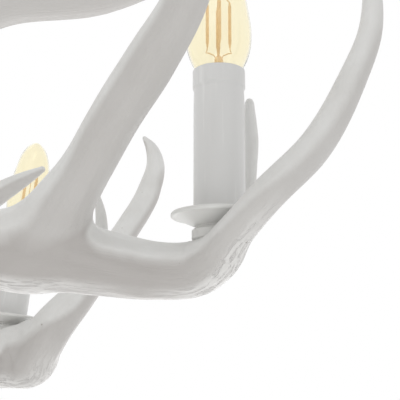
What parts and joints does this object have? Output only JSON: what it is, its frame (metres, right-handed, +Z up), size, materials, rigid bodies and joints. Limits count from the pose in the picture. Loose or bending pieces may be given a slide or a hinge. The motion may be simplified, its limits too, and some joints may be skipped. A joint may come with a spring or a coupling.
{
  "type": "antler chandelier",
  "caption": "Ceiling chandelier of white cast antlers round a hub, with candle lights on drip pans, hung on a link chain from a round canopy.",
  "frame": {"origin": "middle of the ceiling bracket's upper face, where it meets the ceiling", "axes": "+Z up into the ceiling, along the chain; +X out along the first upper antler"},
  "size_m": [0.7835, 0.7636, 0.556],
  "materials": {
    "antler_resin": "matte off-white cast resin with fine grooves and pits",
    "white_metal": "matte off-white enamel",
    "candle_plastic": "matte white with faint wax runs",
    "holder_plastic": "smooth cream moulding",
    "hardware_steel": "zinc plated",
    "cap_metal": "bright rolled thread",
    "amber_glass": "thin clear amber glass",
    "filament_glow": "coated filament rods on wire leads"
  },
  "bodies": {
    "ceiling_fitting": {"ceiling_bracket": "hardware_steel", "bracket_locknut": "hardware_steel", "canopy_nipple": "hardware_steel", "canopy_loop": "white_metal"},
    "canopy_cover": {"canopy": "white_metal", "canopy_ring": "white_metal"},
    "link_1": {"chain_link_1": "white_metal"},
    "link_2": {"chain_link_2": "white_metal"},
    "link_3": {"chain_link_3": "white_metal"},
    "link_4": {"chain_link_4": "white_metal"},
    "link_5": {"chain_link_5": "white_metal"},
    "fixture": {"stem_loop": "white_metal", "stem_tube": "white_metal", "hub": "antler_resin", "hub_bolts": "hardware_steel", "finial": "antler_resin", "seat_nuts": "white_metal", "cup_nipples": "hardware_steel", "upper_antler_1": "antler_resin", "upper_drip_pan_1": "white_metal", "upper_candle_sleeve_1": "candle_plastic", "upper_lamp_holder_1": "holder_plastic", "upper_antler_2": "antler_resin", "upper_drip_pan_2": "white_metal", "upper_candle_sleeve_2": "candle_plastic", "upper_lamp_holder_2": "holder_plastic", "upper_antler_3": "antler_resin", "upper_drip_pan_3": "white_metal", "upper_candle_sleeve_3": "candle_plastic", "upper_lamp_holder_3": "holder_plastic", "lower_antler_1": "antler_resin", "lower_drip_pan_1": "white_metal", "lower_candle_sleeve_1": "candle_plastic", "lower_lamp_holder_1": "holder_plastic", "lower_antler_2": "antler_resin", "lower_drip_pan_2": "white_metal", "lower_candle_sleeve_2": "candle_plastic", "lower_lamp_holder_2": "holder_plastic", "lower_antler_3": "antler_resin", "lower_drip_pan_3": "white_metal", "lower_candle_sleeve_3": "candle_plastic", "lower_lamp_holder_3": "holder_plastic"},
    "upper_bulb_1": {"upper_bulb_cap_1": "cap_metal", "upper_bulb_glass_1": "amber_glass", "upper_bulb_filament_1": "filament_glow"},
    "upper_bulb_2": {"upper_bulb_cap_2": "cap_metal", "upper_bulb_glass_2": "amber_glass", "upper_bulb_filament_2": "filament_glow"},
    "upper_bulb_3": {"upper_bulb_cap_3": "cap_metal", "upper_bulb_glass_3": "amber_glass", "upper_bulb_filament_3": "filament_glow"},
    "lower_bulb_1": {"lower_bulb_cap_1": "cap_metal", "lower_bulb_glass_1": "amber_glass", "lower_bulb_filament_1": "filament_glow"},
    "lower_bulb_2": {"lower_bulb_cap_2": "cap_metal", "lower_bulb_glass_2": "amber_glass", "lower_bulb_filament_2": "filament_glow"},
    "lower_bulb_3": {"lower_bulb_cap_3": "cap_metal", "lower_bulb_glass_3": "amber_glass", "lower_bulb_filament_3": "filament_glow"}
  },
  "joints": [
    {"name": "canopy_drop", "type": "slide", "parent": "ceiling_fitting", "child": "canopy_cover", "axis": [0, 0, -1], "range_m": [0, 0.03]},
    {"name": "link_1_swing", "type": "hinge", "parent": "ceiling_fitting", "child": "link_1", "pos_m": [0, 0, -0.064], "axis": [1, 0, 0], "range_deg": [-9, 9]},
    {"name": "link_2_swing", "type": "hinge", "parent": "link_1", "child": "link_2", "pos_m": [0, 0, -0.0912], "axis": [0, 1, 0], "range_deg": [-9, 9]},
    {"name": "link_3_swing", "type": "hinge", "parent": "link_2", "child": "link_3", "pos_m": [0, 0, -0.1189], "axis": [1, 0, 0], "range_deg": [-9, 9]},
    {"name": "link_4_swing", "type": "hinge", "parent": "link_3", "child": "link_4", "pos_m": [0, 0, -0.1466], "axis": [0, 1, 0], "range_deg": [-9, 9]},
    {"name": "link_5_swing", "type": "hinge", "parent": "link_4", "child": "link_5", "pos_m": [0, 0, -0.1743], "axis": [1, 0, 0], "range_deg": [-9, 9]},
    {"name": "chandelier_swing", "type": "hinge", "parent": "link_5", "child": "fixture", "pos_m": [0, 0, -0.202], "axis": [0, 1, 0], "range_deg": [-9, 9]},
    {"name": "upper_bulb_1_lift", "type": "slide", "parent": "fixture", "child": "upper_bulb_1", "axis": [0, 0, 1], "range_m": [0, 0.03]},
    {"name": "upper_bulb_2_lift", "type": "slide", "parent": "fixture", "child": "upper_bulb_2", "axis": [0, 0, 1], "range_m": [0, 0.03]},
    {"name": "upper_bulb_3_lift", "type": "slide", "parent": "fixture", "child": "upper_bulb_3", "axis": [0, 0, 1], "range_m": [0, 0.03]},
    {"name": "lower_bulb_1_lift", "type": "slide", "parent": "fixture", "child": "lower_bulb_1", "axis": [0.1029, 0.0182, 0.9945], "range_m": [0, 0.03]},
    {"name": "lower_bulb_2_lift", "type": "slide", "parent": "fixture", "child": "lower_bulb_2", "axis": [-0.0672, 0.0801, 0.9945], "range_m": [0, 0.03]},
    {"name": "lower_bulb_3_lift", "type": "slide", "parent": "fixture", "child": "lower_bulb_3", "axis": [-0.0358, -0.0982, 0.9945], "range_m": [0, 0.03]}
  ]
}
